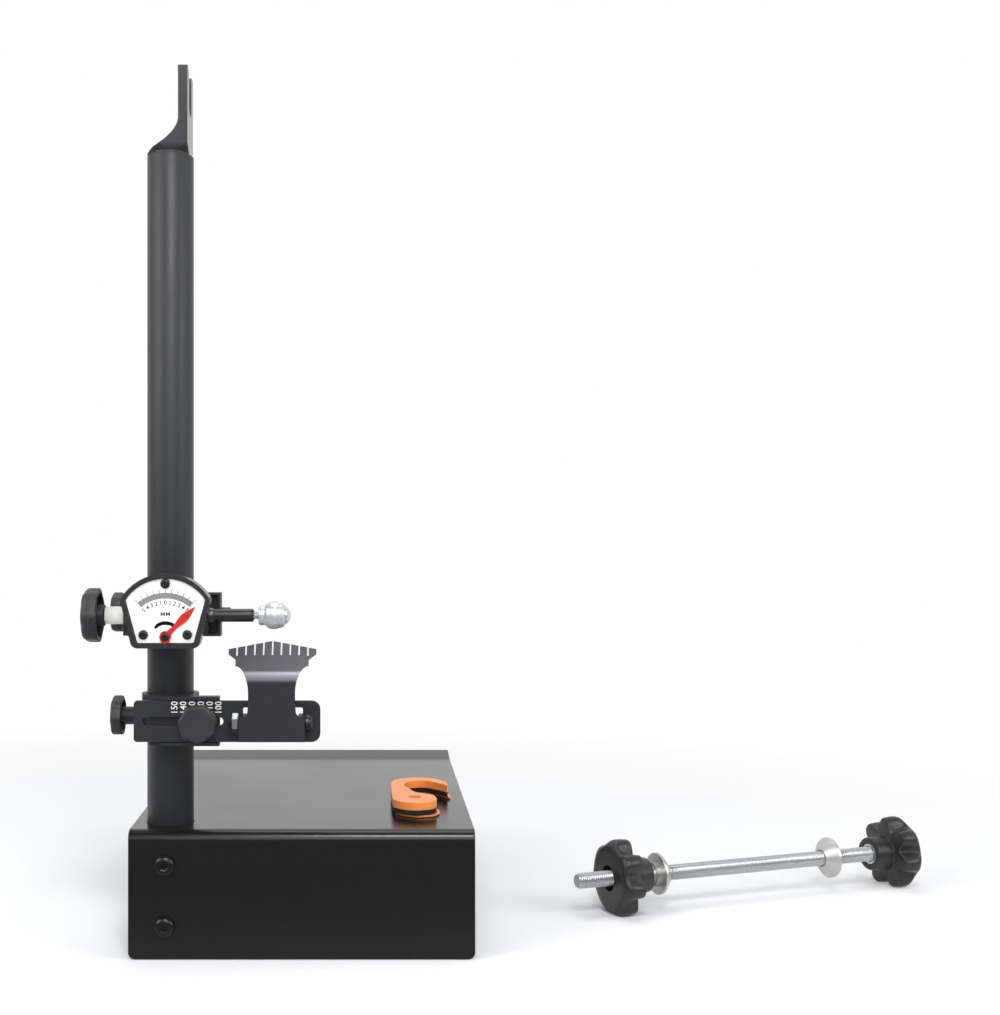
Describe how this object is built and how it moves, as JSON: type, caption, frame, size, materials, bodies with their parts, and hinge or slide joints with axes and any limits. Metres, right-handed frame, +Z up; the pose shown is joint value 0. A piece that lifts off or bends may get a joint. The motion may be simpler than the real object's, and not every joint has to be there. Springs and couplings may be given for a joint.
{
  "type": "bicycle wheel truing stand",
  "caption": "Black steel bicycle wheel truing stand with a slotted head, a dial gauge, a sliding dish gauge, a loose hook spacer and a loose thru axle adapter.",
  "frame": {"origin": "on the floor under the column axis, at the middle of the front flange's thickness", "axes": "+X to the right seen from the front, along the wheel's axle; +Y to the rear; +Z up"},
  "size_m": [0.5355, 0.3028, 0.5121],
  "materials": {
    "black_coat": "fine black powder coat, satin",
    "black_case": "smooth black plastic, slightly glossy",
    "dark_plastic": "moulded dark grey plastic, fine texture",
    "zinc": "bright zinc plate",
    "dark_steel": "dark phosphate finish",
    "blue_steel": "dark blue grey plated sheet, satin",
    "polished_ball": "polished steel ball",
    "white_face": "printed white sheet, smooth",
    "red_paint": "red enamel",
    "nylon": "natural white nylon",
    "black_rod": "black oxide, smooth",
    "orange_plastic": "orange plastic, smooth",
    "black_rubber": "black rubber, matt"
  },
  "bodies": {
    "stand": {"base_sheet": "black_coat", "column_tube": "black_coat", "column_head": "black_coat", "column_saddle": "dark_steel", "column_nut_bar": "dark_steel", "column_screw_lower": "dark_steel", "column_screw_upper": "dark_steel"},
    "gauge": {"gauge_clamp": "black_coat", "gauge_screw_lower": "zinc", "gauge_screw_upper": "zinc", "gauge_body": "black_case", "dial_face": "white_face", "dial_screw_top": "dark_steel", "dial_screw_left": "dark_steel", "dial_screw_right": "dark_steel", "pointer_screw": "dark_steel", "plunger_bush": "nylon"},
    "gauge_clamp_screw": {"gauge_clamp_knob": "dark_plastic", "gauge_clamp_stud": "zinc"},
    "pointer": {"pointer": "red_paint"},
    "plunger": {"plunger_rod": "black_rod", "plunger_fork": "dark_steel", "plunger_spring": "zinc", "tip_body": "zinc"},
    "plunger_knob": {"plunger_knob": "dark_plastic"},
    "tip_ball": {"tip_ball": "polished_ball"},
    "dish": {"dish_clamp": "black_coat", "bar_lock_stud": "zinc"},
    "dish_clamp_screw": {"dish_clamp_knob": "dark_plastic", "dish_clamp_stud": "zinc"},
    "bar": {"slide_bar": "black_coat"},
    "bar_lock": {"bar_lock_knob": "dark_plastic", "bar_lock_washer": "zinc"},
    "plate": {"dish_plate": "blue_steel", "plate_bolt": "dark_steel", "plate_nut": "zinc"},
    "hook": {"hook_foot": "orange_plastic", "hook_pad": "black_rubber", "hook_top": "orange_plastic"},
    "adapter": {"adapter_rod": "zinc", "adapter_knob_far": "dark_plastic", "adapter_insert_far": "zinc"},
    "adapter_near_knob": {"adapter_knob_near": "dark_plastic", "adapter_insert_near": "zinc"},
    "adapter_near_cone": {"adapter_cone_near": "zinc"},
    "adapter_far_cone": {"adapter_cone_far": "zinc"}
  },
  "joints": [
    {"name": "gauge_slide", "type": "slide", "parent": "stand", "child": "gauge", "axis": [0, 0, 1], "range_m": [0, 0.24]},
    {"name": "gauge_clamp_turn", "type": "hinge", "parent": "gauge", "child": "gauge_clamp_screw", "pos_m": [-0.03, 0.025, 0.1953], "axis": [1, 0, 0], "range_deg": [-180, 180]},
    {"name": "plunger_slide", "type": "slide", "parent": "gauge", "child": "plunger", "axis": [1, 0, 0], "range_m": [-0.0114, 0], "stiffness_N_per_m": 150, "springref_m": 0.005, "deforming": ["plunger_spring"]},
    {"name": "pointer_swing", "type": "hinge", "parent": "gauge", "child": "pointer", "pos_m": [0.003, -0.0189, 0.1844], "axis": [0, 1, 0], "range_deg": [-95, 5]},
    {"name": "plunger_knob_turn", "type": "hinge", "parent": "plunger", "child": "plunger_knob", "pos_m": [-0.04, -0.003, 0.1953], "axis": [1, 0, 0], "continuous": true},
    {"name": "tip_ball_roll", "type": "hinge", "parent": "plunger", "child": "tip_ball", "pos_m": [0.0661, -0.003, 0.1953], "axis": [0, 0, 1], "continuous": true},
    {"name": "dish_slide", "type": "slide", "parent": "stand", "child": "dish", "axis": [0, 0, 1], "range_m": [-0.045, 0.006]},
    {"name": "dish_clamp_turn", "type": "hinge", "parent": "dish", "child": "dish_clamp_screw", "pos_m": [-0.03, 0.025, 0.135], "axis": [1, 0, 0], "range_deg": [-180, 180]},
    {"name": "bar_slide", "type": "slide", "parent": "dish", "child": "bar", "axis": [1, 0, 0], "range_m": [-0.0045, 0.0287]},
    {"name": "bar_lock_turn", "type": "hinge", "parent": "dish", "child": "bar_lock", "pos_m": [0.0197, -0.01, 0.135], "axis": [0, 1, 0], "range_deg": [-180, 180]},
    {"name": "plate_tilt", "type": "hinge", "parent": "bar", "child": "plate", "pos_m": [0.0615, -0.0073, 0.135], "axis": [1, 0, 0], "range_deg": [0, 55]},
    {"name": "hook_lift", "type": "slide", "parent": "stand", "child": "hook", "axis": [0, 0, 1], "range_m": [0, 0.05]},
    {"name": "adapter_lift", "type": "slide", "parent": "stand", "child": "adapter", "axis": [0, 0, 1], "range_m": [0, 0.15]},
    {"name": "adapter_knob_turn", "type": "hinge", "parent": "adapter", "child": "adapter_near_knob", "pos_m": [0.28059, 0.10068, 0.02252], "axis": [0.9397, 0.342, 0], "continuous": true},
    {"name": "near_cone_slide", "type": "slide", "parent": "adapter", "child": "adapter_near_cone", "axis": [0.9397, 0.342, 0], "range_m": [-0.0015, 0.05]},
    {"name": "far_cone_slide", "type": "slide", "parent": "adapter", "child": "adapter_far_cone", "axis": [0.9397, 0.342, 0], "range_m": [-0.05, 0.02]}
  ],
  "couplings": [
    {"joint": "pointer_swing", "follows": "plunger_slide", "rad_per_m": 137}
  ]
}
